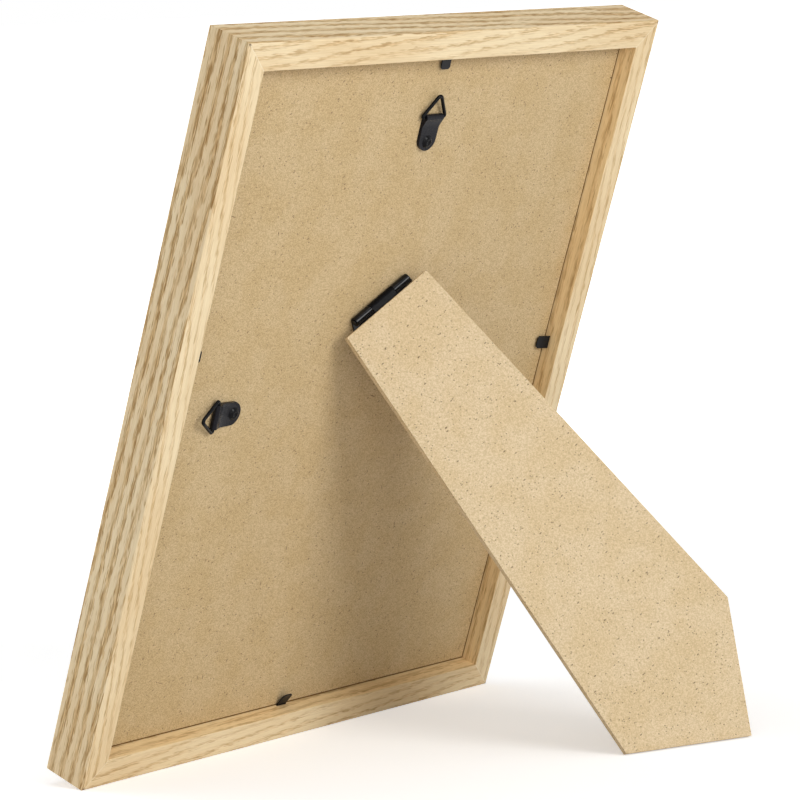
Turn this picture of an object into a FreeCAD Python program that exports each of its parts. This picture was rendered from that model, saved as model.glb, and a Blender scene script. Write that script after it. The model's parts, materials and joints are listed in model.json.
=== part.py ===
import FreeCAD, Part
import math
import os
import re
import Sketcher

# Easel back photo frame, standing in portrait on its bottom edge and its leg.
#
# Row frame: +X to the right seen from the front, +Y to the back, +Z up, origin at the middle of
# the underside of the whole thing. Most pieces are drawn in the back frame instead: its X runs
# to the right seen from behind, its Y up the back, its Z straight out of the back, and its
# origin is the middle of the bottom edge of the back face. Rails are named as the front shows them.

os.makedirs("parts", exist_ok=True)
doc = FreeCAD.newDocument("easel_back_frame")
sheet = doc.addObject("Spreadsheet::Sheet", "Sizes")

# Driving dimensions, in millimetres and degrees
driving = [
    ("overrun", 2),                  # how far a cutting shape runs past what it cuts
    # Wooden rails
    ("frame_width", 224),
    ("frame_height", 276.4),
    ("frame_depth", 19),
    ("back_width", 10.3),            # back face of a rail, outer side to rebate wall
    ("front_width", 15.4),           # front face of a rail, outer side to sight edge
    ("recess", 7.1),                 # back board below the back face
    ("edge_round", 0.8),             # sanded outer edges
    ("wall_round", 0.3),             # broken edges at the rebate mouth and the sight edge
    # Contents of the rebate
    ("glass_thick", 2),
    ("glass_seam", 0.3),             # ground edge of the glass
    ("insert_thick", 0.3),
    ("board_thick", 2.5),
    ("side_gap", 0.5),               # all round the glass, the paper and the board
    # Corner wedges, driven from the back and filled over
    ("nail_thick", 0.5),
    ("nail_arm", 5),
    ("nail_long", 7),
    ("nail_inset", 5.2),             # from both outer sides to the bend of the wedge
    ("nail_sunk", 1.5),              # below the back face
    # Flexible points: where each sits along its rail, its height above the board, how far it is bent up
    ("tab_width", 4.9),
    ("tab_thick", 0.5),
    ("tab_reach", 5.2),              # blade, from its bend line to its tip
    ("tab_tip_round", 1.2),
    ("tab_buried", 6),
    ("tab_point_share", 0.6),        # share of the buried length before the point begins
    ("tab_stub", 0.35),              # shank standing out of the rebate wall
    ("tab_play", 0.05),              # between the shank and the blade's rounded root
    ("tab_bottom_along", -5),
    ("tab_bottom_above", 0.6),
    ("tab_bottom_bend", 26),
    ("tab_left_along", 7.8),
    ("tab_left_above", 2.0),
    ("tab_left_bend", -13),
    ("tab_top_along", 0),
    ("tab_top_above", 0.9),
    ("tab_top_bend", 2),
    ("tab_right_along", -23.8),
    ("tab_right_above", 0.7),
    ("tab_right_bend", 25),
    # Hinge of the leg
    ("hinge_across", -6.5),          # middle of the leg's top edge, on the hinge axis
    ("hinge_up", 173),
    ("hinge_tilt", 32.5),
    ("opening", 44),                 # between leg and board, where the stop holds the leg
    ("hinge_shift", 1.2),            # the hinge sits this far off the leg's middle
    ("leaf_width", 28),
    ("leaf_length", 18),
    ("leaf_corner", 2),
    ("sheet_thick", 0.7),
    ("knuckle_radius", 1.75),
    ("knuckle_lift", 0.25),          # knuckles above the board
    ("centre_knuckle", 11.7),
    ("knuckle_gap", 0.15),
    ("notch_gap", 0.4),              # a leaf's edge, clear of the other leaf's knuckle
    ("pin_radius", 1.0),
    ("running_gap", 0.05),
    ("pin_proud", 0.4),              # out of the end knuckles
    ("stop_rise", 0.6),              # stop lips above the outer knuckles
    ("stop_gap", 0.1),
    ("fixing_across", 8),            # rivets of one leaf and prongs of the other
    ("fixing_down", 11.5),
    ("prong_width", 3),
    ("prong_reach", 1.7),
    # Leg
    ("leg_thick", 2.3),
    ("leg_top_width", 42),
    ("leg_top_gap", 0.3),            # from the knuckles to the leg's top edge
    ("leg_reach", 207.6),            # hinge axis to the foot corner
    ("leg_tip_across", 7.4),
    ("foot_edge", 52.2),             # the edge that it stands on in portrait
    ("side_edge", 51.1),             # the edge that it stands on in landscape
    # Rivets, set flush in the front of the board
    ("shank_radius", 1.1),
    ("hinge_head_radius", 2.2),
    ("hinge_head_rise", 0.8),
    ("hanger_head_radius", 2.4),
    ("hanger_head_rise", 1.0),
    # Hangers: a folded strap that holds a triangle of wire
    ("wire_radius", 0.65),
    ("ring_base", 12.9),             # outside length of the side in the strap
    ("ring_reach", 8.9),             # from that side's middle to the outside of the point
    ("ring_corner", 0.75),
    ("ring_point", 1.2),
    ("strap_sheet", 0.6),
    ("strap_neck", 9.1),
    ("strap_tail", 8.8),
    ("strap_reach", 12.6),
    ("strap_slope", 3.6),            # where the roll has come down to two flat layers
    ("hanger_rivet_down", 9.2),
    ("top_hanger_inset", 34),        # from the top of the frame to the wire in the strap
    ("top_hanger_shift", -0.2),      # off the middle of the board
    ("top_hanger_turn", 0),
    ("top_ring_lift", 7),
    ("side_hanger_inset", 32.3),
    ("side_hanger_shift", -1.3),
    ("side_hanger_turn", 90),
    ("side_ring_lift", 13),
]

# Dimensions that follow from the driving ones
following = [
    ("rebate_deep", "recess + board_thick + insert_thick + glass_thick"),
    ("pane_width", "frame_width - 2 * back_width - 2 * side_gap"),
    ("pane_height", "frame_height - 2 * back_width - 2 * side_gap"),
    ("pane_low", "back_width + side_gap"),
    ("tab_root", "tab_stub + tab_play + tab_thick / 2"),
    ("hinge_out", "knuckle_lift + knuckle_radius - recess"),
    ("bore_radius", "pin_radius + running_gap"),
    ("leg_top", "knuckle_radius + leg_top_gap"),
    # Where the corner of a stop lip lies down the opened leg: there the moving leaf's shoulders begin
    ("stop_corner", "sheet_thick / 2 * cos(opening) + (knuckle_radius + stop_rise) * sin(opening)"),
    ("shoulder", "stop_corner + stop_gap"),
    ("roll_radius", "wire_radius + running_gap + strap_sheet"),
    ("ring_half", "ring_base / 2 - wire_radius - ring_corner"),
    ("ring_point_up", "ring_reach - wire_radius - ring_point"),
    ("top_hanger_across", "top_hanger_shift"),
    ("top_hanger_up", "frame_height - top_hanger_inset"),
    ("side_hanger_across", "side_hanger_inset - frame_width / 2"),
    ("side_hanger_up", "frame_height / 2 + side_hanger_shift"),
    ("strap_end", "strap_reach - hanger_rivet_down"),
    ("strap_end_radius", "(strap_tail * strap_tail / 4 + strap_end * strap_end) / (2 * strap_end)"),
]

for row, (name, value) in enumerate(driving, start=1):
    sheet.set("A%d" % row, str(value))
    sheet.setAlias("A%d" % row, name)
for row, (name, text) in enumerate(following, start=1):
    sheet.set("B%d" % row, "=" + text)
    sheet.setAlias("B%d" % row, name)
doc.recompute()
names = {name for name, value in driving + following}


def size(text):
    """The number that an expression of the sheet's names works out to."""
    value = sheet.evalExpression(text)
    return float(getattr(value, "Value", value))


def bind(target, path, text):
    """Ties a property of an object to an expression of the sheet's names."""
    linked = re.sub(r"[a-z_]+", lambda word: "Sizes." + word[0] if word[0] in names else word[0], text)
    target.setExpression(path, linked)


def spot(x="0", y="0", z="0"):
    """A point given by three expressions."""
    return FreeCAD.Vector(size(x), size(y), size(z))


def place(x="0", y="0", z="0", axis=(0, 0, 1), angle="0"):
    """A move given by three expressions, after a turn about one axis."""
    return FreeCAD.Placement(spot(x, y, z), FreeCAD.Rotation(FreeCAD.Vector(*axis), size(angle)))


# Shared steps of a piece: body, sketches, pads, pockets and rounded edges


def new_body(name):
    """An empty body that becomes the piece of that name."""
    body = doc.addObject("PartDesign::Body", name)
    body.Label = name
    return body


def new_sketch(body, name, plane, offset="0"):
    """A sketch on one of the body's own planes, moved off it along its normal."""
    sketch = body.newObject("Sketcher::SketchObject", body.Label + "_" + name)
    support = next(p for p in body.Origin.OriginFeatures if p.Role == plane + "_Plane")
    sketch.AttachmentSupport = [(support, "")]
    sketch.MapMode = "FlatFace"
    bind(sketch, ".AttachmentOffset.Base.z", offset)
    return sketch


def hold_point(sketch, edge, end, x, y):
    """Holds an end or the centre of an edge at a place given by two expressions."""
    for kind, text in (("DistanceX", x), ("DistanceY", y)):
        index = sketch.addConstraint(Sketcher.Constraint(kind, -1, 1, edge, end, size(text)))
        bind(sketch, "Constraints[%d]" % index, text)


def hold_radius(sketch, edge, text):
    """Holds the radius of a circle or an arc at an expression."""
    index = sketch.addConstraint(Sketcher.Constraint("Radius", edge, size(text)))
    bind(sketch, "Constraints[%d]" % index, text)


def arc_between(start, end, radius):
    """The arc under half a circle that leaves start, turns left and ends at end."""
    chord = end - start
    away = math.sqrt(radius**2 - (chord.Length / 2) ** 2)
    left = FreeCAD.Vector(-chord.y, chord.x, 0).normalize()
    centre = (start + end) * 0.5 + left * away
    turns = [math.atan2(point.y - centre.y, point.x - centre.x) for point in (start, end)]
    return Part.ArcOfCircle(Part.Circle(centre, FreeCAD.Vector(0, 0, 1), radius), *turns)


def draw_outline(sketch, corners, arcs=()):
    """A closed outline, anticlockwise, through corners given as pairs of expressions.

    arcs holds (number of the corner it leaves, radius) for each side that is an arc.
    """
    first = sketch.GeometryCount
    count = len(corners)
    spots = [spot(x, y) for x, y in corners]
    for i in range(count):
        ends = spots[i], spots[(i + 1) % count]
        if i in dict(arcs):
            sketch.addGeometry(arc_between(*ends, size(dict(arcs)[i])))
        else:
            sketch.addGeometry(Part.LineSegment(*ends))
    for i in range(count):
        after = first + (i + 1) % count
        sketch.addConstraint(Sketcher.Constraint("Coincident", first + i, 2, after, 1))
        hold_point(sketch, first + i, 1, *corners[i])
    for i, radius in arcs:
        hold_radius(sketch, first + i, radius)


def draw_box(sketch, left, right, low, high):
    """A rectangle between four expressions."""
    draw_outline(sketch, [(left, low), (right, low), (right, high), (left, high)])


def draw_circle(sketch, x, y, radius):
    """A circle whose centre and radius are expressions."""
    edge = sketch.addGeometry(Part.Circle(spot(x, y), FreeCAD.Vector(0, 0, 1), size(radius)))
    hold_point(sketch, edge, 3, x, y)
    hold_radius(sketch, edge, radius)


def pad(body, sketch, length, symmetric=False):
    """Material grown from a sketch along its normal, or as much to both sides."""
    feature = body.newObject("PartDesign::Pad", sketch.Name + "_pad")
    feature.Profile = sketch
    feature.SideType = "Symmetric" if symmetric else "One side"
    bind(feature, "Length", length)
    doc.recompute()


def pocket(body, sketch, length=None, symmetric=False):
    """Material cut away against a sketch's normal, as much to both sides, or right through."""
    before = body.Tip.Shape.Volume
    feature = body.newObject("PartDesign::Pocket", sketch.Name + "_pocket")
    feature.Profile = sketch
    feature.SideType = "Symmetric" if symmetric or length is None else "One side"
    if length is None:
        feature.Type = "ThroughAll"
    else:
        bind(feature, "Length", length)
    doc.recompute()
    if not feature.Shape.Volume < before:
        raise RuntimeError(feature.Name + " cuts nothing")


def straight_edges(shape, along, spots):
    """Names of the straight edges in a direction whose lines run through the given spots."""
    found = []
    for number, edge in enumerate(shape.Edges, start=1):
        if edge.Curve.TypeId != "Part::GeomLine" or abs(edge.Curve.Direction.dot(along)) < 1 - 1e-9:
            continue
        start = edge.Vertexes[0].Point
        if any((point - start).cross(along).Length < 1e-3 for point in spots):
            found.append("Edge%d" % number)
    return found


def round_edges(body, name, along, spots, radius):
    """A fillet on the straight edges that run through the given spots."""
    base = body.Tip
    edges = straight_edges(base.Shape, FreeCAD.Vector(*along), spots)
    if len(edges) < len(spots):
        raise RuntimeError(body.Label + " has no edge to round for " + name)
    feature = body.newObject("PartDesign::Fillet", body.Label + "_" + name)
    feature.Base = (base, edges)
    bind(feature, "Radius", radius)
    doc.recompute()


# Where the moving pieces stand: the leg at its stop, and the lean that puts both feet on the table

hinge_place = place("hinge_across", "hinge_up", "hinge_out", (0, 0, 1), "hinge_tilt")
leg_place = hinge_place * place(axis=(1, 0, 0), angle="-opening")
foot_corner = leg_place.multVec(spot("leg_tip_across", "-leg_reach", "knuckle_radius"))
edge_round = size("edge_round")


def lean_for(inward):
    """Lean of the back when one rounded edge of the frame and the foot corner touch the table.

    inward is the foot corner's distance in from the side of the frame that faces the table.
    """
    across, out = inward - edge_round, foot_corner.z + edge_round
    return math.acos(-edge_round / math.hypot(across, out)) - math.atan2(out, across)


def table_line(table_up):
    """Direction, in the leg's own plane, of the line in which the leg meets the table."""
    seen_from_leg = leg_place.Rotation.inverted().multVec(table_up)
    return FreeCAD.Vector(0, 0, 1).cross(seen_from_leg).normalize()


lean = lean_for(foot_corner.y)
lean_on_side = lean_for(size("frame_width / 2") - foot_corner.x)
foot_line = table_line(FreeCAD.Vector(0, math.cos(lean), -math.sin(lean)))
side_line = table_line(FreeCAD.Vector(-math.cos(lean_on_side), 0, -math.sin(lean_on_side)))
for row, (name, value) in enumerate(
    [
        ("foot_slope", math.degrees(math.atan2(foot_line.y, -foot_line.x))),
        ("side_slope", math.degrees(math.atan2(-side_line.x, -side_line.y))),
    ],
    start=1,
):
    sheet.set("C%d" % row, "%.9f" % value)
    sheet.setAlias("C%d" % row, name)
    names.add(name)
doc.recompute()

upright = FreeCAD.Rotation(FreeCAD.Vector(0, 0, 1), 180) * FreeCAD.Rotation(FreeCAD.Vector(1, 0, 0), 90)
leaning = FreeCAD.Rotation(FreeCAD.Vector(1, 0, 0), -math.degrees(lean)) * upright
standing = FreeCAD.Placement(FreeCAD.Vector(0, 0, 0), leaning)
front_most = standing.multVec(spot("0", "edge_round", "edge_round - frame_depth")).y - edge_round
leg_outer_corner = spot("leg_tip_across", "-leg_reach", "knuckle_radius + leg_thick")
rear_most = (standing * leg_place).multVec(leg_outer_corner).y
lowest = standing.multVec(spot("0", "edge_round", "-edge_round")).z - edge_round
back_place = FreeCAD.Placement(FreeCAD.Vector(0, -(front_most + rear_most) / 2, -lowest), leaning)

pieces = []


def keep(piece, placement):
    """Puts a finished piece in its place in the back frame, and so in the row frame."""
    piece.Placement = back_place * placement
    pieces.append(piece)


# Rails: a moulding with a rebate for the contents, mitred at both ends. Each is drawn lying with
# its outer side on X and its back face up, and is slotted for its flexible point and corner wedges.


def point_outline(x, wall, top):
    """Corners of a flexible point's shank: a spade whose point is driven in from the wall."""
    left, right = x + " - tab_width / 2", x + " + tab_width / 2"
    shoulder_y = wall + " - tab_buried * tab_point_share"
    tip = (x, wall + " - tab_buried")
    return [(right, top), (left, top), (left, shoulder_y), tip, (right, shoulder_y)]


def mitre_outline(end, sign):
    """Corners of what a mitre cuts off: sign is -1 at the left end and 1 at the right end."""
    outer, inner = end + " - overrun", end + " + front_width + overrun"
    corners = [(outer, "-overrun"), (inner, "front_width + overrun"), (outer, "front_width + overrun")]
    if sign < 0:
        return corners
    return [("-(%s)" % x, y) for x, y in reversed(corners)]


def build_rail(name, length, tab):
    """One rail of a given length, slotted for the flexible point of that name."""
    body = new_body(name)
    profile = new_sketch(body, "profile", "YZ")
    draw_outline(
        profile,
        [
            ("0", "0"),
            ("0", "-frame_depth"),
            ("front_width", "-frame_depth"),
            ("front_width", "-rebate_deep"),
            ("back_width", "-rebate_deep"),
            ("back_width", "0"),
        ],
    )
    pad(body, profile, length, symmetric=True)
    outer_spots = [spot(), spot(z="-frame_depth")]
    inner_spots = [spot("0", "back_width"), spot("0", "front_width", "-frame_depth")]
    round_edges(body, "outer_edges", (1, 0, 0), outer_spots, "edge_round")
    round_edges(body, "inner_edges", (1, 0, 0), inner_spots, "wall_round")

    end = "-" + length + " / 2"
    mitres = new_sketch(body, "mitres", "XY")
    draw_outline(mitres, mitre_outline(end, -1))
    draw_outline(mitres, mitre_outline(end, 1))
    pocket(body, mitres)

    wedges = new_sketch(body, "wedge_slots", "XY", "-nail_sunk")
    near = end + " + nail_inset - nail_thick / 2"
    far = end + " + nail_inset + nail_arm"
    low, high = "nail_inset - nail_thick / 2", "nail_inset + nail_thick / 2"
    draw_box(wedges, near, far, low, high)
    draw_box(wedges, "-(%s)" % far, "-(%s)" % near, low, high)
    pocket(body, wedges, "nail_long")

    slot = new_sketch(body, "point_slot", "XY", tab + "_above - recess + tab_thick / 2")
    draw_outline(slot, point_outline(tab + "_along", "back_width", "back_width + overrun"))
    pocket(body, slot, "tab_thick")
    return body


# Flexible points: a spade-shaped shank in the wood and a blade that bends up beside the wall


def build_shank(name):
    """The part of a flexible point that is driven into the rail."""
    body = new_body(name)
    outline = new_sketch(body, "outline", "XY")
    draw_outline(outline, point_outline("0", "0", "tab_stub"))
    pad(body, outline, "tab_thick", symmetric=True)
    return body


def build_blade(name):
    """The part of a flexible point that lies over the board, with a rounded root to bend about."""
    body = new_body(name)
    root = new_sketch(body, "root", "YZ")
    draw_circle(root, "0", "0", "tab_thick / 2")
    pad(body, root, "tab_width", symmetric=True)
    flat = new_sketch(body, "flat", "XY")
    draw_box(flat, "-tab_width / 2", "tab_width / 2", "0", "tab_reach")
    pad(body, flat, "tab_thick", symmetric=True)
    tips = [spot("tab_width / 2", "tab_reach"), spot("-tab_width / 2", "tab_reach")]
    round_edges(body, "tip_corners", (0, 0, 1), tips, "tab_tip_round")
    return body


rails = [
    ("bottom_rail", "frame_width", "tab_bottom", ("0", "0"), "0"),
    ("left_rail", "frame_height", "tab_left", ("frame_width / 2", "frame_height / 2"), "90"),
    ("top_rail", "frame_width", "tab_top", ("0", "frame_height"), "180"),
    ("right_rail", "frame_height", "tab_right", ("-frame_width / 2", "frame_height / 2"), "270"),
]
for name, length, tab, middle, turn in rails:
    rail_place = place(*middle, angle=turn)
    keep(build_rail(name, length, tab), rail_place)
    above = tab + "_above - recess"
    keep(build_shank(tab + "_shank"), rail_place * place(tab + "_along", "back_width", above))
    bend_line = (tab + "_along", "back_width + tab_root", above)
    keep(build_blade(tab), rail_place * place(*bend_line, (1, 0, 0), tab + "_bend"))


# Corner wedges: a bent steel strip across each mitre, one arm in each rail


def build_wedge(name):
    """One corner wedge, drawn from the corner where two rails meet."""
    body = new_body(name)
    near, mid, far = "nail_inset - nail_thick / 2", "nail_inset + nail_thick / 2", "nail_inset + nail_arm"
    outline = new_sketch(body, "outline", "XY", "-nail_sunk - nail_long")
    draw_outline(outline, [(near, near), (far, near), (far, mid), (mid, mid), (mid, far), (near, far)])
    pad(body, outline, "nail_long")
    return body


frame_corners = [
    ("-frame_width / 2", "0", "0"),
    ("frame_width / 2", "0", "90"),
    ("frame_width / 2", "frame_height", "180"),
    ("-frame_width / 2", "frame_height", "270"),
]
for number, (x, y, turn) in enumerate(frame_corners, start=1):
    keep(build_wedge("corner_nail_%d" % number), place(x, y, angle=turn))


# Contents of the rebate, from the front: glass, paper, back board

glass = new_body("glass_pane")
glass_outline = new_sketch(glass, "outline", "XY", "-rebate_deep")
draw_box(glass_outline, "-pane_width / 2", "pane_width / 2", "pane_low", "pane_low + pane_height")
pad(glass, glass_outline, "glass_thick")
plain_pane = glass.Tip
seam = glass.newObject("PartDesign::Chamfer", "glass_seam_all_round")
seam.Base = (plain_pane, ["Edge%d" % (i + 1) for i in range(len(plain_pane.Shape.Edges))])
bind(seam, "Size", "glass_seam")
keep(glass, place())

paper = doc.addObject("Part::Box", "photo_insert")
bind(paper, "Length", "pane_width")
bind(paper, "Width", "pane_height")
bind(paper, "Height", "insert_thick")
keep(paper, place("-pane_width / 2", "pane_low", "glass_thick - rebate_deep"))

# A rivet of the hinge goes through the fixed leaf at a place on the leaf, seen here on the board
board_rivets = []
for side in ("-", "+"):
    along = "(hinge_shift %s fixing_across)" % side
    x = "hinge_across + %s * cos(hinge_tilt) + fixing_down * sin(hinge_tilt)" % along
    y = "hinge_up + %s * sin(hinge_tilt) - fixing_down * cos(hinge_tilt)" % along
    board_rivets.append((x, y))
hangers = ("top", "side")
hanger_rivets = []
for hanger in hangers:
    turn = "%s_hanger_turn" % hanger
    x = "%s_hanger_across + hanger_rivet_down * sin(%s)" % (hanger, turn)
    y = "%s_hanger_up - hanger_rivet_down * cos(%s)" % (hanger, turn)
    hanger_rivets.append((x, y))



def build_rivet(name, grip, head, rise):
    """A rivet that clamps something of thickness grip to the board, drawn from the board's back."""
    body = new_body(name)
    profile = new_sketch(body, "profile", "XZ")
    draw_outline(
        profile,
        [
            ("0", "-board_thick"),
            ("shank_radius", "-board_thick"),
            ("shank_radius", grip),
            (head, grip),
            (head, grip + " + " + rise),
            ("0", grip + " + " + rise),
        ],
    )
    feature = body.newObject("PartDesign::Revolution", name + "_revolution")
    feature.Profile = profile
    feature.ReferenceAxis = (profile, ["V_Axis"])
    doc.recompute()
    return body


board = new_body("backing_board")
board_outline = new_sketch(board, "outline", "XY", "-recess - board_thick")
draw_box(board_outline, "-pane_width / 2", "pane_width / 2", "pane_low", "pane_low + pane_height")
pad(board, board_outline, "board_thick")
rivet_holes = new_sketch(board, "rivet_holes", "XY", "-recess")
for x, y in board_rivets + hanger_rivets:
    draw_circle(rivet_holes, x, y, "shank_radius")
pocket(board, rivet_holes)
keep(board, place())

for number, (x, y) in enumerate(board_rivets, start=1):
    rivet = build_rivet("board_rivet_%d" % number, "sheet_thick", "hinge_head_radius", "hinge_head_rise")
    keep(rivet, place(x, y, "-recess"))


# Hinge: two pressed leaves on one pin. The fixed leaf is riveted to the board. The moving leaf
# grips the leg by two prongs, lanced from the sheet and pressed into the leg, so that nothing
# shows on the leg. Lips on the outer knuckles stop the moving leaf's shoulders.


def prong_outline(x):
    """Corners of a prong, seen along the leaf: from the leaf's inner face to a point in the leg."""
    root = "knuckle_radius - sheet_thick"
    right, left = x + " + prong_width / 2", x + " - prong_width / 2"
    return [(left, root), (right, root), (x, "knuckle_radius + prong_reach")]


def build_leaf(name, plate_low, moving):
    """One leaf, drawn about the hinge axis, which is X, with its plate down the Y axis."""
    body = new_body(name)
    plate = new_sketch(body, "plate", "YZ")
    draw_box(plate, "-leaf_length", "0", plate_low, plate_low + " + sheet_thick")
    pad(body, plate, "leaf_width", symmetric=True)
    roll = new_sketch(body, "roll", "YZ")
    draw_circle(roll, "0", "0", "knuckle_radius")
    pad(body, roll, "leaf_width", symmetric=True)
    if not moving:
        lips = new_sketch(body, "stop_lips", "YZ")
        draw_box(lips, "-sheet_thick / 2", "sheet_thick / 2", "0", "knuckle_radius + stop_rise")
        pad(body, lips, "leaf_width", symmetric=True)

    notches = new_sketch(body, "notches", "XY")
    inner, outer = "centre_knuckle / 2", "leaf_width / 2 + overrun"
    top = "knuckle_radius + overrun"
    if moving:
        draw_box(notches, inner, outer, "-shoulder", top)
        draw_box(notches, "-(%s)" % outer, "-" + inner, "-shoulder", top)
    else:
        half = inner + " + knuckle_gap"
        draw_box(notches, "-(%s)" % half, half, "-(knuckle_radius + notch_gap)", top)
    pocket(body, notches)

    bore = new_sketch(body, "bore", "YZ")
    draw_circle(bore, "0", "0", "bore_radius")
    pocket(body, bore)
    fixings = new_sketch(body, "fixings", "XY")
    for x in ("fixing_across", "-fixing_across"):
        if moving:
            near = "-fixing_down - sheet_thick / 2"
            far = near + " - prong_reach"
            draw_box(fixings, x + " - prong_width / 2", x + " + prong_width / 2", far, near)
        else:
            draw_circle(fixings, x, "-fixing_down", "shank_radius")
    pocket(body, fixings)
    if moving:
        prongs = new_sketch(body, "prongs", "XZ", "fixing_down")
        for x in ("fixing_across", "-fixing_across"):
            draw_outline(prongs, prong_outline(x))
        pad(body, prongs, "sheet_thick", symmetric=True)
    ends = [spot("leaf_width / 2", "-leaf_length"), spot("-leaf_width / 2", "-leaf_length")]
    round_edges(body, "corners", (0, 0, 1), ends, "leaf_corner")
    return body


shift = place("hinge_shift")
on_board = "-knuckle_lift - knuckle_radius"
keep(build_leaf("hinge_fixed_leaf", on_board, moving=False), hinge_place * shift)
under_leg = "knuckle_radius - sheet_thick"
keep(build_leaf("hinge_moving_leaf", under_leg, moving=True), leg_place * shift)

pin = new_body("hinge_pin")
pin_section = new_sketch(pin, "section", "YZ")
draw_circle(pin_section, "0", "0", "pin_radius")
pad(pin, pin_section, "leaf_width + 2 * pin_proud", symmetric=True)
keep(pin, hinge_place * shift)


# Leg: a tapered strut, drawn down from the hinge axis. Its foot corner has one edge for each way
# of standing, and both edges lie full length on the table.

leg = new_body("easel_leg")
leg_outline = new_sketch(leg, "outline", "XY", "knuckle_radius")
draw_outline(
    leg_outline,
    [
        ("-leg_top_width / 2", "-leg_top"),
        ("leg_tip_across - foot_edge * cos(foot_slope)", "foot_edge * sin(foot_slope) - leg_reach"),
        ("leg_tip_across", "-leg_reach"),
        ("leg_tip_across + side_edge * sin(side_slope)", "side_edge * cos(side_slope) - leg_reach"),
        ("leg_top_width / 2", "-leg_top"),
    ],
)
pad(leg, leg_outline, "leg_thick")
prong_slots = new_sketch(leg, "prong_slots", "XZ", "fixing_down")
draw_outline(prong_slots, prong_outline("hinge_shift + fixing_across"))
draw_outline(prong_slots, prong_outline("hinge_shift - fixing_across"))
pocket(leg, prong_slots, "sheet_thick", symmetric=True)
keep(leg, leg_place)


# Hangers: a strap folded round the base of a wire triangle and riveted to the board. Both are
# drawn about the wire in the strap, which is X, with the strap down the Y axis.


def build_strap(name):
    """Two layers of steel, rolled round the wire at one end and rounded at the other."""
    body = new_body(name)
    side_view = new_sketch(body, "side_view", "YZ")
    flat = "2 * strap_sheet - roll_radius"
    draw_outline(
        side_view,
        [
            ("0", "-roll_radius"),
            ("0", "roll_radius"),
            ("-strap_slope", flat),
            ("-strap_reach", flat),
            ("-strap_reach", "-roll_radius"),
        ],
    )
    pad(body, side_view, "strap_neck", symmetric=True)
    roll = new_sketch(body, "roll", "YZ")
    draw_circle(roll, "0", "0", "roll_radius")
    pad(body, roll, "strap_neck", symmetric=True)

    waste = new_sketch(body, "waste_round_the_plan", "XY")
    draw_box(waste, "-strap_neck", "strap_neck", "-strap_reach - overrun", "roll_radius + 2 * overrun")
    draw_outline(
        waste,
        [
            ("-strap_tail / 2", "-hanger_rivet_down"),
            ("strap_tail / 2", "-hanger_rivet_down"),
            ("strap_neck / 2", "-strap_slope"),
            ("strap_neck / 2", "roll_radius + overrun"),
            ("-strap_neck / 2", "roll_radius + overrun"),
            ("-strap_neck / 2", "-strap_slope"),
        ],
        [(0, "strap_end_radius")],
    )
    pocket(body, waste)
    bore = new_sketch(body, "bore", "YZ")
    draw_circle(bore, "0", "0", "wire_radius + running_gap")
    pocket(body, bore)
    hole = new_sketch(body, "hole", "XY")
    draw_circle(hole, "0", "-hanger_rivet_down", "shank_radius")
    pocket(body, hole)
    return body


def draw_triangle(sketch):
    """The ring's centre line: a base on X, two equal corners and a wider point."""
    base_end, point = spot("ring_half", "ring_corner"), spot("0", "ring_point_up")
    corner, tip = size("ring_corner"), size("ring_point")
    rise = point - base_end
    slack = (corner - tip) / rise.Length
    along = FreeCAD.Vector(rise).normalize()
    out = along * slack + FreeCAD.Vector(along.y, -along.x, 0) * math.sqrt(1 - slack**2)
    turn = math.atan2(out.y, out.x)
    upward = FreeCAD.Vector(0, 0, 1)

    def flip(vector):
        return FreeCAD.Vector(-vector.x, vector.y, 0)

    right_low, right_high = base_end + out * corner, point + out * tip
    base_right = spot("ring_half")
    sides = [
        Part.LineSegment(flip(base_right), base_right),
        Part.ArcOfCircle(Part.Circle(base_end, upward, corner), -math.pi / 2, turn),
        Part.LineSegment(right_low, right_high),
        Part.ArcOfCircle(Part.Circle(point, upward, tip), turn, math.pi - turn),
        Part.LineSegment(flip(right_high), flip(right_low)),
        Part.ArcOfCircle(Part.Circle(flip(base_end), upward, corner), math.pi - turn, 1.5 * math.pi),
    ]
    sketch.addGeometry(sides)
    for i in range(len(sides)):
        sketch.addConstraint(Sketcher.Constraint("Tangent", i, 2, (i + 1) % len(sides), 1))
    hold_point(sketch, 1, 3, "ring_half", "ring_corner")
    hold_point(sketch, 3, 3, "0", "ring_point_up")
    hold_point(sketch, 5, 3, "-ring_half", "ring_corner")
    hold_radius(sketch, 1, "ring_corner")
    hold_radius(sketch, 3, "ring_point")
    hold_radius(sketch, 5, "ring_corner")


def build_ring(name):
    """A triangle of round wire."""
    body = new_body(name)
    path = new_sketch(body, "path", "XY")
    draw_triangle(path)
    section = new_sketch(body, "section", "YZ")
    draw_circle(section, "0", "0", "wire_radius")
    doc.recompute()
    feature = body.newObject("PartDesign::AdditivePipe", name + "_pipe")
    feature.Profile = section
    feature.Spine = (path, ["Edge%d" % number for number in range(1, len(path.Shape.Edges) + 1)])
    doc.recompute()
    return body


for hanger, (x, y) in zip(hangers, hanger_rivets):
    start = hanger + "_hanger_"
    hanger_place = place(start + "across", start + "up", "roll_radius - recess", (0, 0, 1), start + "turn")
    keep(build_strap(start + "strap"), hanger_place)
    keep(build_ring(start + "ring"), hanger_place * place(axis=(1, 0, 0), angle=hanger + "_ring_lift"))
    rivet = build_rivet(start + "rivet", "2 * strap_sheet", "hanger_head_radius", "hanger_head_rise")
    keep(rivet, place(x, y, "-recess"))


# Nothing is written unless every feature worked and every piece is one sound solid

doc.recompute()
failed = [item.Name for item in doc.Objects if {"Invalid", "Error"} & set(item.State)]
if failed:
    raise RuntimeError("failed: " + ", ".join(failed))
for piece in pieces:
    shape = piece.Shape
    if shape.isNull() or not shape.isValid() or len(shape.Solids) != 1:
        raise RuntimeError(piece.Label + " is not one sound solid")
for piece in pieces:
    piece.Shape.exportStep("parts/%s.step" % piece.Label)
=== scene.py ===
import json
import math

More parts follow.
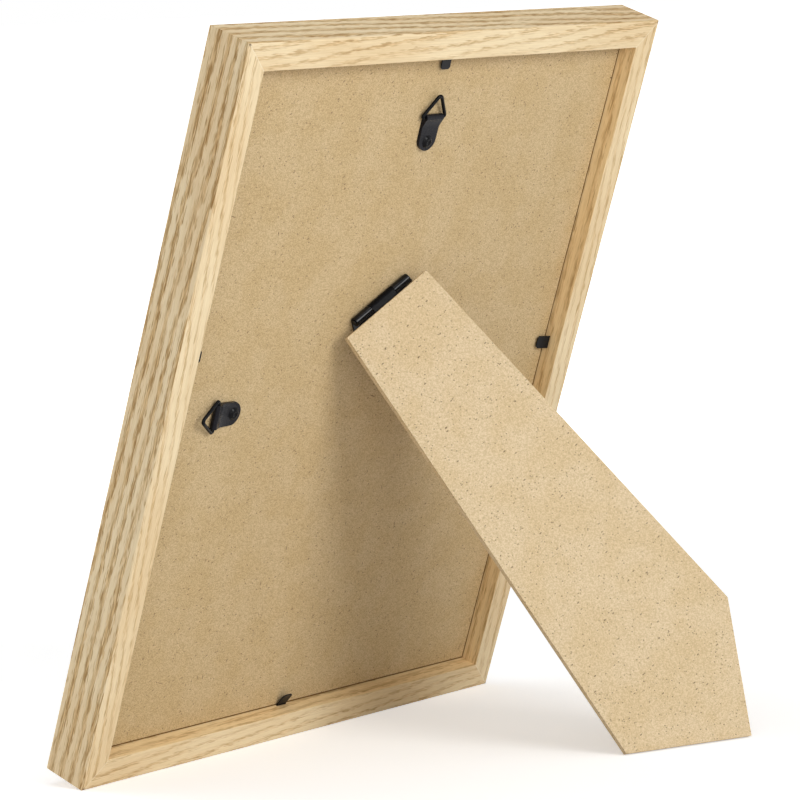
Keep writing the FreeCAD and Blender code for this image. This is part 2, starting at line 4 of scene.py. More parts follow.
import bmesh
import bpy
import numpy as np
from mathutils import Matrix, Vector


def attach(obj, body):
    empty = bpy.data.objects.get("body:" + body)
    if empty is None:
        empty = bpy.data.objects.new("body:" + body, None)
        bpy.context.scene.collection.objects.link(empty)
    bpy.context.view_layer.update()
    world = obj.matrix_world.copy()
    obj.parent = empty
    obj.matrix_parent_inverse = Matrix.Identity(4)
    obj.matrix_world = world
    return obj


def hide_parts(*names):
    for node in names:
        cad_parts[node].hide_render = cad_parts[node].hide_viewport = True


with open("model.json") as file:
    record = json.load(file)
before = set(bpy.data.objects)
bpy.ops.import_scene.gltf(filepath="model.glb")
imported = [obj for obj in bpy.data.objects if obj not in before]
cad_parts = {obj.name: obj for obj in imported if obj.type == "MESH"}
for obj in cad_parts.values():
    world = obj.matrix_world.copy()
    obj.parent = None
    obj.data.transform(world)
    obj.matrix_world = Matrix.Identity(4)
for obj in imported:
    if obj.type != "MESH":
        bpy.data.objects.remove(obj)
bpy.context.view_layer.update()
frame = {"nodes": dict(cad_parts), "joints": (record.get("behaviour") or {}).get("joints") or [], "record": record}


# Rails
# Four lengths of pale, open-grained oak moulding, 19 mm deep and 10.3 mm across the back face. Each is
# planed, sanded and left unvarnished, cut to 45 degrees at both ends and glued to its neighbours.
# A rebate from the back holds the glass, the paper and the board.

# Sizes in millimetres: the whole frame, its back face, and how deep from the back the board and the end of
# the rebate lie. Right, up and out are as the back is seen, and foot is the middle of its lower edge
frame_wide, frame_high = 224, 276.4
back_face_wide = 10.3
board_depth, rebate_depth = 7, 12
wall_face = next(m for m in frame["record"]["mounts"] if m["name"] == "wall_back")
out = Vector(wall_face["axis"])
right = Vector((-1, 0, 0))
up = out.cross(right)
foot = Vector(wall_face["pos_m"]) - up * (frame_high - back_face_wide / 2) / 1000
back_axes = (foot, right, up, out)


def linear(shade):
    """A colour as the shader wants it, from an sRGB hex value: the sRGB curve undone on each channel."""
    channels = [int(shade[i : i + 2], 16) / 255 for i in (1, 3, 5)]
    return [c / 12.92 if c <= 0.04045 else ((c + 0.055) / 1.055) ** 2.4 for c in channels] + [1]


def add_node(tree, kind, output, inputs, **settings):
    """Adds one node and gives back one of its outputs.

    inputs maps an input's name or number to a value, or to the output that feeds it.
    """
    node = tree.nodes.new("ShaderNode" + kind)
    for name, value in settings.items():
        setattr(node, name, value)
    for name, value in inputs.items():
        if isinstance(value, bpy.types.NodeSocket):
            tree.links.new(value, node.inputs[name])
        else:
            node.inputs[name].default_value = value
    return node.outputs[output]


# Settings that many nodes share: a range that eases in and out, and a mix of two colours
smooth = {"interpolation_type": "SMOOTHSTEP"}
in_colour = {"data_type": "RGBA"}


def new_finish(name):
    """An empty material of that name, its node tree and its surface shader."""
    finish = bpy.data.materials.new(name)
    finish.use_nodes = True
    return finish, finish.node_tree, finish.node_tree.nodes["Principled BSDF"]


def dress(node, finish):
    """Gives a CAD node its finish."""
    mesh = frame["nodes"][node].data
    mesh.materials.clear()
    mesh.materials.append(finish)


def local_mm(tree, start, first, second, third):
    """Object coordinates in millimetres from a start point, along three directions at right angles."""
    turn = Matrix((first, second, third))
    where = {"Vector": add_node(tree, "TexCoord", "Object", {}), "Scale": (1000, 1000, 1000)}
    where["Rotation"] = turn.to_euler()
    where["Location"] = turn @ start * -1000
    return add_node(tree, "Mapping", "Vector", where)


def stretched_noise(tree, place, grain, detail=2.0, rough=0.5):
    """Noise whose blobs measure grain, three lengths in the units of place, and whose middle is 0.5."""
    per_unit = [1 / length for length in grain]
    shrunk = add_node(tree, "VectorMath", 0, {0: place, 1: per_unit}, operation="MULTIPLY")
    noise = {"Vector": shrunk, "Scale": 1.0, "Detail": detail, "Roughness": rough}
    return add_node(tree, "TexNoise", "Fac", noise, normalize=True)


def growth_bands(tree, place, parts, on_face, shift):
    """How porous the wood is, from 0 in late wood to 1 in early wood, the first part of each growth ring.

    Rings lie across the depth. A ring is a whole step of a phase that grows with the depth, the way inward
    and the way along, and on the back face it slants 1 in 10.
    """
    lengthways, inwards, deep = parts
    ring_deep, ring_across = 4.7, 4.2
    ring_along_side, ring_along_face = 110, 42
    slow_wave = stretched_noise(tree, place, (60, 18, 18), 1.0)
    ragged = stretched_noise(tree, place, (5, 0.45, 0.45), 1.0, 0.5)
    slant = {0: on_face, 1: 1 / ring_along_face - 1 / ring_along_side, 2: 1 / ring_along_side}
    slant = add_node(tree, "Math", 0, slant, operation="MULTIPLY_ADD")
    phase = add_node(tree, "Math", 0, {0: lengthways, 1: slant, 2: shift}, operation="MULTIPLY_ADD")
    for output, rate in ((deep, 1 / ring_deep), (inwards, 1 / ring_across), (slow_wave, 1.4), (ragged, 1.0)):
        phase = add_node(tree, "Math", 0, {0: output, 1: rate, 2: phase}, operation="MULTIPLY_ADD")
    ring = add_node(tree, "Math", 0, {0: phase}, operation="FRACT")

    # A band starts sharply and fades out. On the face it is shorter and fainter, and it is weaker towards
    # the inner wall and in patches along the rail
    past = add_node(tree, "Math", 0, {0: on_face, 1: 0.16, 2: ring}, operation="MULTIPLY_ADD")
    porous = add_node(tree, "MapRange", 0, {0: ring, 1: 0.0, 2: 0.22}, **smooth)
    fall = add_node(tree, "MapRange", 0, {0: past, 1: 0.34, 2: 0.74, 3: 1.0, 4: 0.0}, **smooth)
    near_side = add_node(tree, "MapRange", 0, {0: inwards, 1: 4, 2: 9, 3: 1.0, 4: 0.6}, **smooth)
    fainter = add_node(tree, "Math", 0, {0: on_face, 1: -0.35, 2: 1.0}, operation="MULTIPLY_ADD")
    uneven = stretched_noise(tree, place, (30, 5, 5), 1.0)
    uneven = add_node(tree, "MapRange", 0, {0: uneven, 1: 0.3, 2: 0.6, 3: 0.6, 4: 1.0}, **smooth)
    for share in (fall, near_side, fainter, uneven):
        porous = add_node(tree, "Math", 0, {0: porous, 1: share}, operation="MULTIPLY")
    return porous


def mitre_marks(tree, parts, on_face, half_length):
    """Two shares on the back face: the glue line of the mitre, and painted shade in a notch at its outer corner.

    The mitre is where the way to the rail's end is as long as the way inward.
    """
    lengthways, inwards = parts[:2]
    ends = add_node(tree, "Math", 0, {0: lengthways}, operation="ABSOLUTE")
    from_mitre = add_node(tree, "Math", 0, {0: ends, 1: -1.0, 2: half_length}, operation="MULTIPLY_ADD")
    from_mitre = add_node(tree, "Math", 0, {0: from_mitre, 1: inwards}, operation="SUBTRACT")
    seam = add_node(tree, "MapRange", 0, {0: from_mitre, 1: 0.05, 2: 0.3, 3: 0.55, 4: 0.0}, **smooth)
    # Painted shade where the mitre opens a little at its outer corner
    notch_shade = add_node(tree, "MapRange", 0, {0: from_mitre, 1: 0.2, 2: 0.8, 3: 0.85, 4: 0.0}, **smooth)
    at_edge = add_node(tree, "MapRange", 0, {0: inwards, 1: 0.4, 2: 1.2, 3: 1.0, 4: 0.0}, **smooth)
    notch_shade = add_node(tree, "Math", 0, {0: notch_shade, 1: at_edge}, operation="MULTIPLY")
    marks = []
    for share in (seam, notch_shade):
        marks.append(add_node(tree, "Math", 0, {0: share, 1: on_face}, operation="MULTIPLY"))
    return marks


def open_grain_oak(name, start, along, inward, half_length, shift):
    """Sanded open-grained oak, which shows brown dashes in bands, broad on the sides, thin on the back."""
    finish, tree, shader = new_finish(name)
    place = local_mm(tree, start, along, inward, -out)
    parts = list(add_node(tree, "SeparateXYZ", 0, {0: place}).node.outputs)
    inwards, deep = parts[1:]
    normal = add_node(tree, "TexCoord", "Normal", {})
    facing = add_node(tree, "VectorMath", "Value", {0: normal, 1: out}, operation="DOT_PRODUCT")
    facing = add_node(tree, "Math", 0, {0: facing}, operation="ABSOLUTE")
    on_face = add_node(tree, "Math", 0, {0: facing, 1: 0.7}, operation="GREATER_THAN")
    porous = growth_bands(tree, place, parts, on_face, shift)

    # Open pores are dashes, most of them in the porous bands. Real ones are 0.3 mm wide: here the fine ones
    # are 0.4 mm, and runs of them are drawn 0.75 mm wide and 10 mm long, so that they show
    dashes = 0.0
    for long, wide, low, high, weight in ((4.5, 0.4, 0.44, 0.56, 0.45), (10, 0.75, 0.48, 0.56, 0.75)):
        dash = stretched_noise(tree, place, (long, wide, wide), 1.0)
        dash = add_node(tree, "MapRange", 0, {0: dash, 1: low, 2: high}, **smooth)
        more = {0: dash, 1: weight, 2: dashes}
        dashes = add_node(tree, "Math", 0, more, operation="MULTIPLY_ADD", use_clamp=True)
    pores = add_node(tree, "Math", 0, {0: porous, 1: 1.0, 2: 0.08}, operation="MULTIPLY_ADD")
    pores = add_node(tree, "Math", 0, {0: dashes, 1: pores}, operation="MULTIPLY")
    fibre = stretched_noise(tree, place, (30, 0.45, 0.45), 2.0)
    fibres = add_node(tree, "MapRange", 0, {0: fibre, 1: 0.3, 2: 0.7, 4: 0.35}, **smooth)
    patches = stretched_noise(tree, place, (60, 20, 20), 1.0)
    patches = add_node(tree, "MapRange", 0, {0: patches, 1: 0.35, 2: 0.65, 4: 0.6}, **smooth)

    # The inner wall is tinted a little warmer than the back and side faces
    warmer_wall = {0: inwards, 1: back_face_wide - 0.4, 2: back_face_wide - 0.1, 4: 0.6}
    warmer_wall = add_node(tree, "MapRange", 0, warmer_wall, **smooth)
    off_face = add_node(tree, "Math", 0, {0: 1.0, 1: on_face}, operation="SUBTRACT")
    warmer_wall = add_node(tree, "Math", 0, {0: warmer_wall, 1: off_face}, operation="MULTIPLY")

    # Below the board the rebate wall is painted brown, a painted shade for the narrow gap between board and rail,
    # which lies out of the light
    gap_shade = 1.0
    for value, begins, before, after in (
        (deep, board_depth, 0.0, 1.0),
        (inwards, back_face_wide - 0.3, 0.0, 1.0),
        (deep, rebate_depth, 1.0, 0.0),
    ):
        limit = {0: value, 1: begins, 2: begins + 0.2, 3: before, 4: after}
        limit = add_node(tree, "MapRange", 0, limit, **smooth)
        gap_shade = add_node(tree, "Math", 0, {0: limit, 1: gap_shade}, operation="MULTIPLY")

    # The glue line is a pale thread, and the notch at its outer corner gets a dark painted shade
    seam, notch_shade = mitre_marks(tree, parts, on_face, half_length)
    pale = {0: warmer_wall, 6: linear("#f3e0bb"), 7: linear("#fbdea6")}
    shade = add_node(tree, "Mix", 2, pale, **in_colour)
    for share, colour in ((porous, "#dfbd89"), (pores, "#9d7844"), (fibres, "#dbc396")):
        shade = add_node(tree, "Mix", 2, {0: share, 6: shade, 7: linear(colour)}, **in_colour)
    cloudy = {0: patches, 6: shade, 7: linear("#f3e9dc")}
    shade = add_node(tree, "Mix", 2, cloudy, **in_colour, blend_type="MULTIPLY")
    # Over the grain go the pale glue line, then painted shade in the mitre's notch and on the rebate wall below
    # the board
    for share, colour in ((seam, "#f6ead2"), (notch_shade, "#5a4128"), (gap_shade, "#8a6534")):
        shade = add_node(tree, "Mix", 2, {0: share, 6: shade, 7: linear(colour)}, **in_colour)
    tree.links.new(shade, shader.inputs["Base Color"])

    rough = add_node(tree, "Math", 0, {0: pores, 1: 0.2, 2: 0.58}, operation="MULTIPLY_ADD")
    tree.links.new(rough, shader.inputs["Roughness"])
    relief = add_node(tree, "Math", 0, {0: fibre, 1: 0.3}, operation="MULTIPLY")
    relief = add_node(tree, "Math", 0, {0: pores, 1: -0.7, 2: relief}, operation="MULTIPLY_ADD")
    bump = add_node(tree, "Bump", 0, {"Height": relief, "Strength": 0.5, "Distance": 0.0001})
    tree.links.new(bump, shader.inputs["Normal"])
    shader.inputs["Specular IOR Level"].default_value = 0.12
    return finish


middle = foot + up * frame_high / 2000
for rail, start, inward, length, shift in (
    ("bottom_rail", foot, up, frame_wide, 0.35),
    ("top_rail", foot + up * frame_high / 1000, -up, frame_wide, 0.1),
    ("left_rail", middle + right * frame_wide / 2000, -right, frame_high, 0.6),
    ("right_rail", middle - right * frame_wide / 2000, right, frame_high, 0.85),
):
    along = inward.cross(-out)
    dress(rail, open_grain_oak("sanded oak, " + rail, start, along, inward, length / 2, shift))


# Glass and paper
# A pane of 2 mm float glass with ground edges lies on the sight edge, and a plain white sheet lies
# behind it in place of a picture.

# Float glass is clear with a breath of green and mirrors the room almost sharply. It lets the lamps through
# to the paper, so shadow rays and the paper's own diffuse rays pass it as if it were air
clear_glass, tree, shader = new_finish("float glass")
place = local_mm(tree, *back_axes)
waver = stretched_noise(tree, place, (40, 40, 40), 1.0)
haze = add_node(tree, "MapRange", 0, {0: waver, 1: 0.3, 2: 0.7, 3: 0.01, 4: 0.03}, **smooth)
tree.links.new(haze, shader.inputs["Roughness"])
shader.inputs["Base Color"].default_value = linear("#fafdfb")
shader.inputs["Transmission Weight"].default_value = 1.0
shader.inputs["IOR"].default_value = 1.52
path = add_node(tree, "LightPath", "Is Shadow Ray", {}).node
kinds = {0: path.outputs["Is Shadow Ray"], 1: path.outputs["Is Diffuse Ray"]}
lets_light_in = add_node(tree, "Math", 0, kinds, operation="MAXIMUM")
as_air = add_node(tree, "BsdfTransparent", 0, {})
pane = add_node(tree, "MixShader", 0, {0: lets_light_in, 1: shader.outputs[0], 2: as_air})
tree.links.new(pane, tree.nodes["Material Output"].inputs["Surface"])
dress("glass_pane", clear_glass)

# Uncoated paper is matt and slightly cloudy, with fibres about 0.6 mm long just off white
white_paper, tree, shader = new_finish("uncoated white paper")
place = local_mm(tree, *back_axes)
fibres = stretched_noise(tree, place, (0.6, 0.6, 0.6), 4.0)
shade = add_node(tree, "Mix", 2, {0: fibres, 6: linear("#faf9f6"), 7: linear("#f3f1ec")}, **in_colour)
tree.links.new(shade, shader.inputs["Base Color"])
shader.inputs["Roughness"].default_value = 0.85
bump = add_node(tree, "Bump", 0, {"Height": fibres, "Strength": 0.15, "Distance": 0.00002})
tree.links.new(bump, shader.inputs["Normal"])


def in_scene(name, data):
    """A new object with that data, linked into the scene."""
    thing = bpy.data.objects.new(name, data)
    bpy.context.scene.collection.objects.link(thing)
    return thing


def stand_in(node, name, mesh, body, finish):
    """A new piece with that mesh and finish, which rides on the body in place of the CAD node."""
    dress(node, finish)
    mesh.materials.clear()
    mesh.materials.append(finish)
    piece = in_scene(name, mesh)
    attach(piece, body)
    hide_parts(node)
    return piece


# The sheet is drawn half as thick, so that it doesn't share a face with the pane: each point moves halfway
# towards the sheet's middle plane
mesh = frame["nodes"]["photo_insert"].data.copy()
points = np.empty(len(mesh.vertices) * 3)
mesh.vertices.foreach_get("co", points)
points = points.reshape(-1, 3)
depth = points @ np.array(out)
points -= np.outer((depth - (depth.min() + depth.max()) / 2) / 2, np.array(out))
mesh.vertices.foreach_set("co", points.ravel())
stand_in("photo_insert", "photo_insert_sheet", mesh, "frame", white_paper)


# Backing board
# 2.5 mm hardboard: wood fibre pressed hot and flat, tan, with scattered dark fibres and bark specks. It
# lies loose on the paper in the rebate, under the four flexible points.


def pressed_board(name, pale, dark, fleck_shade, fleck_share):
    """Pressed wood fibre, which gives a fine matt mottling under scattered dark flecks of fibre and bark.

    A fleck is the middle of a Voronoi cell drawn out along its kind's angle, kept where the red of the
    cell's random colour is small.
    """
    finish, tree, shader = new_finish(name)
    place = local_mm(tree, *back_axes)
    pulp = stretched_noise(tree, place, (0.55, 0.55, 0.55), 2.0, 0.6)
    clots = stretched_noise(tree, place, (1.1, 1.1, 1.1), 3.0, 0.75)
    cloud = stretched_noise(tree, place, (14, 14, 14), 2.0)
    mottle = add_node(tree, "Math", 0, {0: pulp, 1: 0.55}, operation="MULTIPLY")
    mottle = add_node(tree, "Math", 0, {0: clots, 1: 0.45, 2: mottle}, operation="MULTIPLY_ADD")
    share = add_node(tree, "MapRange", 0, {0: mottle, 1: 0.36, 2: 0.64}, **smooth)
    shade = add_node(tree, "Mix", 2, {0: share, 6: linear(pale), 7: linear(dark)}, **in_colour)
    share = add_node(tree, "MapRange", 0, {0: cloud, 1: 0.35, 2: 0.65, 4: 0.4}, **smooth)
    cloudy = {0: share, 6: shade, 7: linear("#f1ead6")}
    shade = add_node(tree, "Mix", 2, cloudy, **in_colour, blend_type="MULTIPLY")

    # Four kinds of fleck: angle in radians, length, width and spacing in millimetres, and share kept
    flecks = 0.0
    for angle, long, thin, spacing, share in (
        (0.4, 0.5, 0.3, 1.2, 1.0),
        (1.4, 1.3, 0.27, 2.1, 0.8),
        (2.6, 0.8, 0.32, 1.7, 0.7),
        (3.5, 2.2, 0.28, 5.0, 0.5),
    ):
        aslant = {"Vector": place, "Angle": angle}
        aslant = add_node(tree, "VectorRotate", 0, aslant, rotation_type="Z_AXIS")
        cells = {0: aslant, 1: (thin / long / spacing, 1 / spacing, 1 / spacing)}
        cells = add_node(tree, "VectorMath", 0, cells, operation="MULTIPLY")
        cell = add_node(tree, "TexVoronoi", 0, {"Vector": cells, "Scale": 1.0, "Randomness": 1.0}).node
        chance = add_node(tree, "SeparateColor", 0, {0: cell.outputs["Color"]})
        limit = fleck_share * share
        kept = {0: chance, 1: limit * 0.3, 2: limit, 3: 1.0, 4: 0.0}
        kept = add_node(tree, "MapRange", 0, kept, **smooth)
        near = {0: cell.outputs["Distance"], 1: thin / spacing * 0.35, 2: thin / spacing, 3: 1.0, 4: 0.0}
        near = add_node(tree, "MapRange", 0, near, **smooth)
        flecks = add_node(tree, "Math", 0, {0: near, 1: kept, 2: flecks}, operation="MULTIPLY_ADD")
    flecks = add_node(tree, "Math", 0, {0: flecks, 1: 0.8}, operation="MULTIPLY", use_clamp=True)
    shade = add_node(tree, "Mix", 2, {0: flecks, 6: shade, 7: linear(fleck_shade)}, **in_colour)
    tree.links.new(shade, shader.inputs["Base Color"])
    rough = add_node(tree, "Math", 0, {0: mottle, 1: 0.2, 2: 0.6}, operation="MULTIPLY_ADD")
    tree.links.new(rough, shader.inputs["Roughness"])
    bump = add_node(tree, "Bump", 0, {"Height": mottle, "Strength": 0.3, "Distance": 0.00008})
    tree.links.new(bump, shader.inputs["Normal"])
    return finish


tan_board = pressed_board("tan hardboard", "#d2ba90", "#b59b70", "#6b5130", fleck_share=0.5)
dress("backing_board", tan_board)


# Corner wedges
# A bent strip of plain spring steel is driven across each mitre from the back, below the face, and
# filled over, so that none of it shows.

# Rolled strip is bright and slightly streaked along its rolling, which lies up the frame
plain_steel, tree, shader = new_finish("plain rolled steel strip")
place = local_mm(tree, *back_axes)
drawn = stretched_noise(tree, place, (0.2, 4, 0.2), 2.0)
shade = add_node(tree, "Mix", 2, {0: drawn, 6: linear("#9a9a9c"), 7: linear("#b4b4b6")}, **in_colour)
tree.links.new(shade, shader.inputs["Base Color"])
rough = add_node(tree, "MapRange", 0, {0: drawn, 1: 0.3, 2: 0.7, 3: 0.3, 4: 0.45}, **smooth)
tree.links.new(rough, shader.inputs["Roughness"])
shader.inputs["Metallic"].default_value = 1.0
for number in range(1, 5):
    dress("corner_nail_%d" % number, plain_steel)


# Flexible points
# Black steel points hold the board in the rebate. A pointed shank is driven into the rail, and the
# blade that shows lies over the board and bends up to free it.


def satin_black(name, base, lift, rough, gloss):
    """Black paint on steel, which gives a near black with a soft sheen that a slight unevenness breaks."""
    finish, tree, shader = new_finish(name)
    place = local_mm(tree, *back_axes)
    uneven = stretched_noise(tree, place, (1.5, 1.5, 1.5), 2.0)
    peel = stretched_noise(tree, place, (0.35, 0.35, 0.35), 1.0)
    shade = add_node(tree, "Mix", 2, {0: uneven, 6: linear(base), 7: linear(lift)}, **in_colour)
    tree.links.new(shade, shader.inputs["Base Color"])
    sheen = {0: uneven, 1: 0.3, 2: 0.7, 3: rough - 0.05, 4: rough + 0.05}
    sheen = add_node(tree, "MapRange", 0, sheen, **smooth)
    tree.links.new(sheen, shader.inputs["Roughness"])
    bump = add_node(tree, "Bump", 0, {"Height": peel, "Strength": 0.1, "Distance": 0.00003})
    tree.links.new(bump, shader.inputs["Normal"])
    shader.inputs["Specular IOR Level"].default_value = gloss
    return finish


def eased(node, body, finish, edge_mm):
    """A black steel CAD piece as one skin with broken edges.

    Flat triangles are joined into faces, sharp edges get a small bevel, and bends are shaded smooth.
    """
    skin = bmesh.new()
    skin.from_mesh(frame["nodes"][node].data)
    bmesh.ops.remove_doubles(skin, verts=skin.verts, dist=1e-6)
    bmesh.ops.dissolve_limit(skin, angle_limit=math.radians(0.5), verts=skin.verts, edges=skin.edges)
    mesh = bpy.data.meshes.new(node + "_eased")
    skin.to_mesh(mesh)
    skin.free()
    sharp = math.radians(35)
    mesh.shade_smooth()
    mesh.set_sharp_from_angle(angle=sharp)
    piece = stand_in(node, node + "_eased", mesh, body, finish)
    bevel = piece.modifiers.new("broken edges", "BEVEL")
    bevel.width = edge_mm / 1000
    bevel.segments = 2
    bevel.harden_normals = True
    bevel.limit_method = "ANGLE"
    bevel.angle_limit = sharp


point_black = satin_black("satin black paint on spring steel", "#0e0e10", "#161517", rough=0.4, gloss=0.2)
for side in ("bottom", "left", "top", "right"):
    dress("tab_%s_shank" % side, point_black)
    eased("tab_" + side, side + "_blade", point_black, edge_mm=0.08)


# Hinge
# Two pressed leaves turn on a steel pin. The fixed leaf is riveted to the board, the moving leaf is
# clenched into the leg with two lanced prongs, and stop lips hold the leg open at 44 degrees.

hinge_black = satin_black("satin black paint on pressed steel", "#08080a", "#0e0e10", rough=0.12, gloss=0.2)
leaf_black = satin_black("satin black paint on the moving leaf", "#09090b", "#0f0f11", rough=0.28, gloss=0.05)
for piece, body, finish, edge_mm in (
    ("hinge_fixed_leaf", "frame", hinge_black, 0.1),
    ("hinge_moving_leaf", "leg", leaf_black, 0.1),
    ("hinge_pin", "frame", hinge_black, 0.15),
):
    eased(piece, body, finish, edge_mm)


def lathed(name, profile, axis_start, axis, steps=56):
    """A closed turned mesh: each point of the profile, a radius and a height, goes round the axis evenly.

    The first and last radius are 0, and each becomes the single point of a fan.
    """
    side_way = up if abs(axis.dot(up)) < 0.9 else right
    first = np.array((side_way - axis * side_way.dot(axis)).normalized())
    second = np.cross(np.array(axis), first)
    angles = np.linspace(0, 2 * math.pi, steps, endpoint=False)
    rim = np.cos(angles)[:, None] * first + np.sin(angles)[:, None] * second
    radius, height = np.array(profile)[1:-1].T / 1000
    rings = radius[:, None, None] * rim + height[:, None, None] * np.array(axis)
    ends = [np.array(axis) * profile[i][1] / 1000 for i in (0, -1)]
    points = np.concatenate([rings.reshape(-1, 3), ends]) + np.array(axis_start)
    count = len(radius)
    row, step = np.meshgrid(np.arange(count - 1) * steps, np.arange(steps), indexing="ij")
    after = (step + 1) % steps
    sides = np.stack([row + step, row + after, row + steps + after, row + steps + step], -1)
    around, ahead = np.arange(steps), (np.arange(steps) + 1) % steps
    first_fan = np.stack([np.full(steps, count * steps), ahead, around], -1)
    last_row = (count - 1) * steps
    last_fan = np.stack([np.full(steps, count * steps + 1), last_row + around, last_row + ahead], -1)
    mesh = bpy.data.meshes.new(name)
    mesh.from_pydata(points, [], sides.reshape(-1, 4).tolist() + first_fan.tolist() + last_fan.tolist())
    mesh.shade_smooth()
    mesh.set_sharp_from_angle(angle=math.radians(40))
    return mesh


def domed_rivet(node, finish, head_radius, head_rise, shank_radius, dimple):
    """A set rivet in place of a CAD one, with a low dome for a head.

    The dome's height falls with the radius to the power 3.2. A dimple is taken from it, a bell curve of the
    radius to the power 4, and the rim stays 0.02 mm thick or more.
    """
    dome_power, dimple_power, rim = 3.2, 4, 0.02
    dimple_radius = head_radius / 2.8
    mesh = frame["nodes"][node].data
    spots = np.array([vertex.co for vertex in mesh.vertices]) - np.array(foot)
    spots = spots @ np.array([right, up, out]).T * 1000
    (x0, y0, low), (x1, y1, high) = spots.min(0), spots.max(0)
    seat = high - head_rise
    reach = np.linspace(head_radius, 0, 26)
    dome = seat + head_rise * (1 - (reach / head_radius) ** dome_power)
    dome -= dimple * np.exp(-((reach / dimple_radius) ** dimple_power))
    profile = [(0.0, low), (shank_radius, low), (shank_radius, seat), (head_radius, seat)]
    profile += list(zip(reach, np.maximum(dome, seat + rim)))
    axis_start = foot + (right * (x0 + x1) + up * (y0 + y1)) / 2000
    rivet = lathed(node + "_domed", profile, axis_start, out)
    stand_in(node, node + "_domed", rivet, "frame", finish)


for number in (1, 2):
    rivet = "board_rivet_%d" % number
    domed_rivet(rivet, hinge_black, head_radius=2.2, head_rise=0.8, shank_radius=1.1, dimple=0.15)


# Leg
# 2.3 mm fibreboard, paler and finer than the back board, sawn square at the foot corner and held by the
# prongs of the hinge's moving leaf.

pale_board = pressed_board("pale fibreboard", "#dcc6a2", "#c6af88", "#5d4626", fleck_share=0.8)
dress("easel_leg", pale_board)


# Hangers
# A strap of black sheet steel is folded round one side of a wire triangle and riveted through the board.
# The top one hangs the frame upright, and the one at the side hangs it lengthwise.

strap_black = satin_black("satin black paint on strap", "#121116", "#19181d", rough=0.3, gloss=0.14)
wire_black = satin_black("satin black paint on wire", "#09090a", "#0f0e10", rough=0.12, gloss=0.1)

# The wire in millimetres, and the three rounds that its middle line goes about: two at the ends of the side
# that the strap holds, and one at the point, each a place from the middle of that side and a radius
wire_radius = 0.65
ring_rounds = np.array([(-5.05, 0.75, 0.75), (5.05, 0.75, 0.75), (0.0, 7.05, 1.2)])
belt_steps, tube_steps = 288, 24


def wire_triangle(name, wire_middle, base_way, point_way):
    """A tube along a belt round three small circles, which closes on itself.

    At angle a the belt touches the circle that reaches furthest that way: its centre plus its radius
    along a. The tube adds the wire's radius round that point, in the plane and across it.
    """
    angle = np.linspace(0, 2 * math.pi, belt_steps, endpoint=False)
    away = np.stack([np.cos(angle), np.sin(angle)], -1)
    furthest = np.argmax(away @ ring_rounds[:, :2].T + ring_rounds[:, 2], axis=1)
    centre, bend = ring_rounds[furthest, :2], ring_rounds[furthest, 2]
    turn = np.linspace(0, 2 * math.pi, tube_steps, endpoint=False)
    reach = bend[:, None] + wire_radius * np.cos(turn)
    flat = centre[:, None, :] + reach[:, :, None] * away[:, None, :]
    lift = np.broadcast_to(wire_radius * np.sin(turn), reach.shape)
    axes = np.array([base_way, point_way, base_way.cross(point_way)])
    points = np.concatenate([flat, lift[:, :, None]], -1).reshape(-1, 3) @ axes / 1000
    row, step = np.meshgrid(np.arange(belt_steps), np.arange(tube_steps), indexing="ij")
    this_row, next_row = row * tube_steps, (row + 1) % belt_steps * tube_steps
    after = (step + 1) % tube_steps
    faces = np.stack([this_row + step, next_row + step, next_row + after, this_row + after], -1)
    mesh = bpy.data.meshes.new(name)
    mesh.from_pydata(points + np.array(wire_middle), [], faces.reshape(-1, 4).tolist())
    mesh.shade_smooth()
    return mesh


# Each ring's way and the way along its wire in the strap, and how many degrees it is lifted off the board
joints = {joint["name"]: Vector(joint["pos_m"]) for joint in frame["joints"]}
for side, ring_way, base_way, lifted in (("top", up, right, 7), ("side", -right, up, 13)):
    strap, rivet, ring = (side + "_hanger_" + part for part in ("strap", "rivet", "ring"))
    eased(strap, "frame", strap_black, edge_mm=0.1)
    domed_rivet(rivet, wire_black, head_radius=2.4, head_rise=1.0, shank_radius=1.1, dimple=0.4)
    point_way = ring_way * math.cos(math.radians(lifted)) + out * math.sin(math.radians(lifted))
    wire = wire_triangle(ring + "_drawn", joints[side + "_ring_swing"], base_way, point_way)
    stand_in(ring, ring + "_drawn", wire, side + "_ring", wire_black)


# Studio
# A white floor that fades into a white surround, and four soft round lamps: a key at the camera's right, a
# fill behind the camera, one above the frame, and a low one beyond it that grazes the side face that shows.


def seen_directly(tree):
    """1 where the camera, a mirror or a pane sees the white studio, 0 where the studio lights the frame."""
    path = add_node(tree, "LightPath", "Is Camera Ray", {}).node
    seen = path.outputs["Is Camera Ray"]
    for kind in ("Is Glossy Ray", "Is Transmission Ray"):
        seen = add_node(tree, "Math", 0, {0: seen, 1: path.outputs[kind]}, operation="MAXIMUM")
    return seen


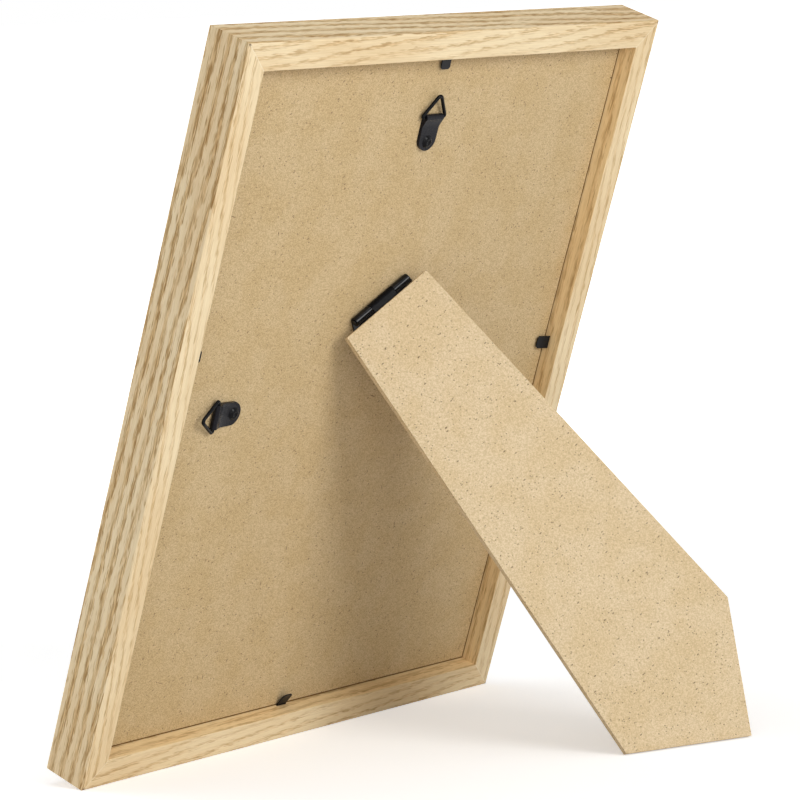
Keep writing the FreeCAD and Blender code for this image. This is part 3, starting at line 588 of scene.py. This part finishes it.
# A matt painted floor glows white away from the frame, from 0.3 m to 1.1 m, and keeps its shadow near it
floor_reach = 30
corners = [(x * floor_reach, y * floor_reach, 0) for x, y in ((-1, -1), (1, -1), (1, 1), (-1, 1))]
floor_mesh = bpy.data.meshes.new("floor")
floor_mesh.from_pydata(corners, [], [(0, 1, 2, 3)])
floor = in_scene("floor", floor_mesh)
white_floor, tree, shader = new_finish("matt white floor")
shader.inputs["Base Color"].default_value = linear("#ededed")
shader.inputs["Roughness"].default_value = 0.9
shader.inputs["Emission Color"].default_value = linear("#ffffff")
away = add_node(tree, "TexCoord", "Object", {})
away = add_node(tree, "VectorMath", "Value", {0: away}, operation="LENGTH")
glow = add_node(tree, "MapRange", 0, {0: away, 1: 0.3, 2: 1.1, 3: 0.42, 4: 1.0}, **smooth)
glow = add_node(tree, "Math", 0, {0: glow, 1: seen_directly(tree)}, operation="MULTIPLY")
tree.links.new(glow, shader.inputs["Emission Strength"])
floor_mesh.materials.append(white_floor)

# The surround is white where it is seen, and lights the frame at 0.22 of that
world = bpy.data.worlds.new("white surround")
bpy.context.scene.world = world
world.use_nodes = True
tree = world.node_tree
tree.nodes["Background"].inputs["Color"].default_value = linear("#ffffff")
strength = {0: seen_directly(tree), 1: 0.0, 2: 1.0, 3: 0.22, 4: 1.0}
tree.links.new(add_node(tree, "MapRange", 0, strength), tree.nodes["Background"].inputs["Strength"])


def turned(x, y, z):
    """So much to the right, up and out, as the back is seen, as one vector."""
    return right * x + up * y + out * z


# The camera stands where the photograph was taken from, worked out from the frame's corners in it: the way
# that it looks, the way across its picture, and its place from the foot in millimetres
sight = turned(0.75244, -0.32914, -0.57052).normalized()
across = turned(0.64935, 0.22563, 0.72624)
across = (across - sight * across.dot(sight)).normalized()
upright = across.cross(sight)
camera = bpy.data.cameras.new("camera")
camera.lens = 166.244
camera.sensor_width = 36
camera.sensor_fit = "HORIZONTAL"
camera.clip_start = 0.05
camera.clip_end = 100
eye = in_scene("camera", camera)
facing = Matrix((across, upright, -sight)).transposed().to_4x4()
eye.matrix_world = Matrix.Translation(foot + turned(-998.82, 577.08, 766.98) / 1000) @ facing
bpy.context.scene.camera = eye

# Each lamp: the way to it from the middle of the frame, its width in metres and its power in watts
aim = Vector((0, 0, 0.13))
lamp_distance = 1.6
for name, toward, wide, power in (
    ("key", across + upright * 0.45 - sight, 0.8, 13.0),
    ("fill", -sight, 1.6, 8.4),
    ("top", upright - sight * 0.25, 1.2, 5.3),
    ("far side", Vector((0.25, -1, 0.12)), 1.4, 22.0),
):
    lamp = bpy.data.lights.new(name, "AREA")
    lamp.shape = "DISK"
    lamp.size = wide
    lamp.energy = power
    holder = in_scene(name, lamp)
    holder.location = aim + toward.normalized() * lamp_distance
    holder.rotation_euler = (aim - holder.location).to_track_quat("-Z", "Y").to_euler()
bpy.context.scene.view_settings.view_transform = "Standard"
